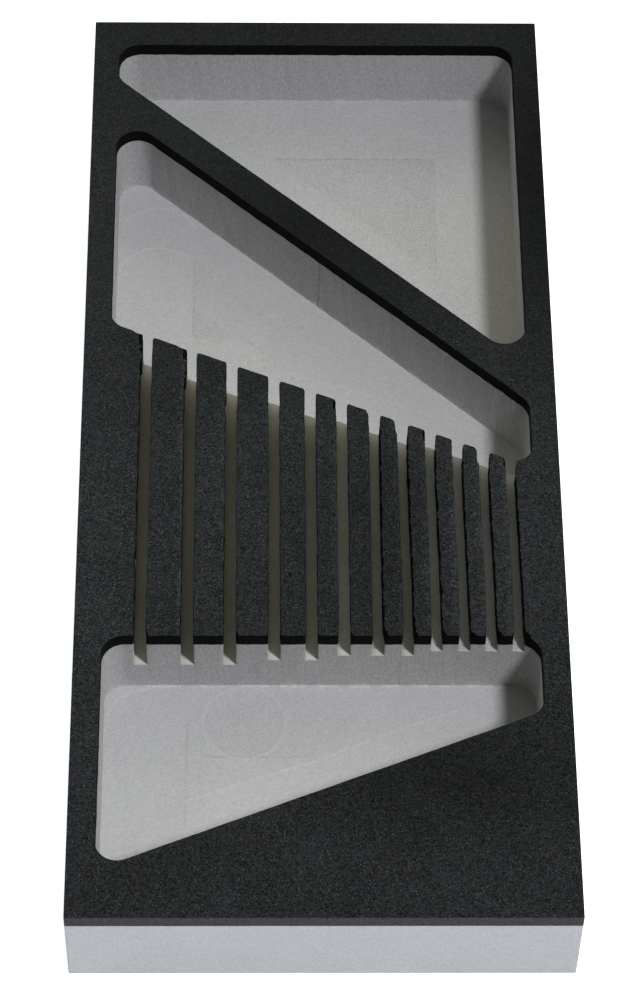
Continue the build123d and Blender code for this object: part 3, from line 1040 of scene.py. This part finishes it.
def grey_foam():
    m = Nodes("grey_foam_mat")
    x, y, z, up = m.axes()
    wall = m.ramp(m.math("ABSOLUTE", up), 0.75, 0.3)
    outward = m.math("MAXIMUM", m.math("SUBTRACT", m.math("ABSOLUTE", x), 85.2), m.math("SUBTRACT", m.math("ABSOLUTE", y), 196.2))
    outside = m.ramp(outward, 0.0, 0.2)
    grit = m.noise(1.7, 3.0, 0.62)
    cells = m.cells(2.1)
    pits = m.ramp(cells.outputs["Distance"], 0.1, 0.6)
    own = m.add("ShaderNodeSeparateColor")
    m.put(own.inputs[0], cells.outputs["Color"])
    patch = m.noise(0.4, 2.0, 0.5)
    cloud = m.noise(0.04, 2.0, 0.5)
    slanted = m.add("ShaderNodeMapping")
    m.put(slanted.inputs["Vector"], m.mm)
    slanted.inputs["Rotation"].default_value = (0.0, 0.35, 0.0)
    slanted.inputs["Scale"].default_value = (1.0, 1.0, 0.42)
    streak = m.noise(1.25, 3.0, 0.6, slanted.outputs[0])
    # the tone attribute: milling marks and patches, with painted light and shade in the slots, the pockets and along
    # grooves and ridges
    mark = m.add("ShaderNodeAttribute", attribute_name="tone")
    rough_cut = m.math("MULTIPLY_ADD", m.math("MAXIMUM", m.math("MULTIPLY", mark.outputs["Fac"], -1.0), 0.0), 0.9, 1.0)
    rough_cut = m.math("MINIMUM", rough_cut, 2.2)
    tone = m.math("MULTIPLY_ADD", m.ramp(grit, 0.3, 0.7, -0.075, 0.075, False), rough_cut, 1.0)
    tone = m.math("MULTIPLY_ADD", own.outputs[0], 0.16, m.math("SUBTRACT", tone, 0.08))
    tone = m.math("ADD", m.ramp(pits, 0.0, 1.0, -0.02, 0.02, False), tone)
    tone = m.math("ADD", m.ramp(patch, 0.3, 0.7, -0.02, 0.02, False), tone)
    tone = m.math("ADD", m.ramp(cloud, 0.3, 0.7, -0.02, 0.02, False), tone)
    streaks = m.math("MULTIPLY", m.ramp(streak, 0.3, 0.7, -0.15, 0.15, False), m.math("MULTIPLY", wall, m.math("SUBTRACT", 1.0, m.math("MULTIPLY", outside, 0.8))))
    tone = m.math("ADD", tone, streaks)
    tone = m.math("MULTIPLY_ADD", mark.outputs["Fac"], 0.045, tone)
    # painted warm shade: the slot foam tinted warmer, standing in for the warm light in the slots
    warm_shade = m.add("ShaderNodeAttribute", attribute_name="warm_shade")
    body = m.blend(warm_shade.outputs["Fac"], (0.430, 0.430, 0.430, 1.0), (0.437, 0.426, 0.390, 1.0))
    m.put(m.surface.inputs["Base Color"], m.tint(body, tone))
    m.surface.inputs["Roughness"].default_value = 0.9
    m.surface.inputs["Specular IOR Level"].default_value = 0.2
    height = m.math("ADD", m.math("MULTIPLY", grit, 0.7), m.math("MULTIPLY", pits, 0.3))
    height = m.math("ADD", height, m.math("MULTIPLY", m.math("MULTIPLY", streak, 1.2), wall))
    m.put(m.surface.inputs["Normal"], m.bump(height, 0.00012, 0.5))
    return m.material


def floor_material():
    m = Nodes("studio_floor_mat")
    m.put(m.surface.inputs["Base Color"], m.tint((0.93, 0.93, 0.94), m.ramp(m.noise(0.02), 0.2, 0.8, 0.995, 1.0)))
    m.surface.inputs["Roughness"].default_value = 0.9
    # the floor glows to stay white; the glow is a little stronger to the left of the object, painting out its cast
    # shadow there
    m.put(m.surface.inputs["Emission Color"], m.tint((0.822, 0.874, 1.0), m.ramp(m.axes()[0], -80.0, -100.0, 1.0, 1.15)))
    m.surface.inputs["Emission Strength"].default_value = 0.76
    return m.material


black, grey = black_foam(), grey_foam()
base.data.materials.append(grey)
for obj in [top_frame] + top_strips:
    obj.data.materials.append(black)

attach(base, "root")
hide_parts("grey_foam_base")
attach(top_frame, "root")
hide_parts("black_top_frame")
for n, obj in enumerate(top_strips, 1):
    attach(obj, "root")
    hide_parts(f"black_top_strip_{n:02d}")

# -------------------------------------------------------------- studio floor
bpy.ops.mesh.primitive_circle_add(vertices=96, radius=40.0, fill_type="NGON", location=(0, 0, -0.00006))   # just clear of the underside
floor = bpy.context.object
floor.name = "studio_floor"
floor.data.materials.append(floor_material())

# --------------------------------------------------------------------- light
scene = bpy.context.scene
world = bpy.data.worlds.new("studio")
scene.world = world
world.use_nodes = True
wn = world.node_tree
wn.nodes.clear()
sky_out = wn.nodes.new("ShaderNodeOutputWorld")
sky = wn.nodes.new("ShaderNodeBackground")
wn.links.new(sky.outputs[0], sky_out.inputs[0])
coord = wn.nodes.new("ShaderNodeTexCoord")
split = wn.nodes.new("ShaderNodeSeparateXYZ")
wn.links.new(coord.outputs["Generated"], split.inputs[0])


def wmath(operation, a, b=0.0, c=0.0):
    node = wn.nodes.new("ShaderNodeMath")
    node.operation = operation
    for k, value in enumerate((a, b, c)):
        if isinstance(value, bpy.types.NodeSocket):
            wn.links.new(value, node.inputs[k])
        else:
            node.inputs[k].default_value = value
    return node.outputs[0]


def wstep(x, low, high):
    node = wn.nodes.new("ShaderNodeMapRange")
    node.interpolation_type = "SMOOTHSTEP"
    wn.links.new(x, node.inputs["Value"])
    node.inputs["From Min"].default_value = low
    node.inputs["From Max"].default_value = high
    return node.outputs["Result"]


sky_x, sky_y, sky_z = split.outputs
azimuth = wmath("ARCTAN2", sky_y, sky_x)
rising, topping = wstep(sky_z, 0.2, 0.5), wstep(sky_z, 0.6, 0.9)
BANDS = {
    "low": wmath("MULTIPLY", wmath("SUBTRACT", 1.0, rising), wmath("GREATER_THAN", sky_z, 0.0)),
    "mid": wmath("MULTIPLY", rising, wmath("SUBTRACT", 1.0, topping)),
    "high": topping,
}
# studio panels: band, bearing and half width in degrees, colour
PANELS = [
    ("high", None, None, (0.18, 0.19, 0.16)),
    ("mid", 0, 45, (1.35, 1.35, 1.27)),
    ("mid", 45, 45, (0.64, 0.72, 0.90)),
    ("mid", 90, 45, (2.03, 1.95, 1.34)),
    ("mid", 135, 45, (1.82, 1.72, 1.64)),
    ("mid", 270, 45, (0.29, 0.28, 0.36)),
]
total = None
for band, bearing, wide, colour in PANELS:
    share = BANDS[band]
    if bearing is not None:
        turn = wmath("ABSOLUTE", wmath("WRAP", wmath("SUBTRACT", azimuth, math.radians(bearing)), math.pi, -math.pi))
        hat = wmath("MAXIMUM", wmath("SUBTRACT", 1.0, wmath("DIVIDE", turn, math.radians(wide))), 0.0)
        share = wmath("MULTIPLY", share, hat)
    lit = wn.nodes.new("ShaderNodeVectorMath")
    lit.operation = "SCALE"
    lit.inputs[0].default_value = colour
    wn.links.new(share, lit.inputs["Scale"])
    if total is None:
        total = lit.outputs[0]
    else:
        both = wn.nodes.new("ShaderNodeVectorMath")
        both.operation = "ADD"
        wn.links.new(total, both.inputs[0])
        wn.links.new(lit.outputs[0], both.inputs[1])
        total = both.outputs[0]
wn.links.new(total, sky.inputs["Color"])
sky.inputs["Strength"].default_value = 1.0

KEY_AT = Vector((0.78, -0.80, 1.80))
KEY_AIM = Vector((-0.888, -1.180, -0.139))      # turned a little past the object
lamp = bpy.data.lights.new("key_softbox", "AREA")
lamp.shape = "DISK"
lamp.size = 0.33
lamp.color = (0.995, 1.0, 1.048)
key = bpy.data.objects.new("key_softbox", lamp)
key.location = KEY_AT
key.rotation_mode = "QUATERNION"
key.rotation_quaternion = (KEY_AT - KEY_AIM).to_track_quat("Z", "Y")
lamp.energy = 36.3
scene.collection.objects.link(key)

# -------------------------------------------------------------------- camera
cam_data = bpy.data.cameras.new("camera")
cam = bpy.data.objects.new("camera", cam_data)
scene.collection.objects.link(cam)
pitch, yaw, roll = (math.radians(a) for a in (55.479, 1.553, 1.341))
fwd = Vector((math.sin(yaw) * math.cos(pitch), math.cos(yaw) * math.cos(pitch), -math.sin(pitch)))
right = Vector((math.cos(yaw), -math.sin(yaw), 0))
up = right.cross(fwd)
cx = math.cos(roll) * right + math.sin(roll) * up
cy = -math.sin(roll) * right + math.cos(roll) * up
turn = Matrix((cx, cy, -fwd)).transposed()
cam.matrix_world = Matrix.Translation(Vector((-20.594, -754.101, 1093.288)) * MM) @ turn.to_4x4()
cam_data.sensor_width = 36.0
cam_data.lens = 129.394
cam_data.clip_start, cam_data.clip_end = 0.01, 100.0
scene.camera = cam

scene.view_settings.view_transform = "Standard"
scene.view_settings.look = "None"
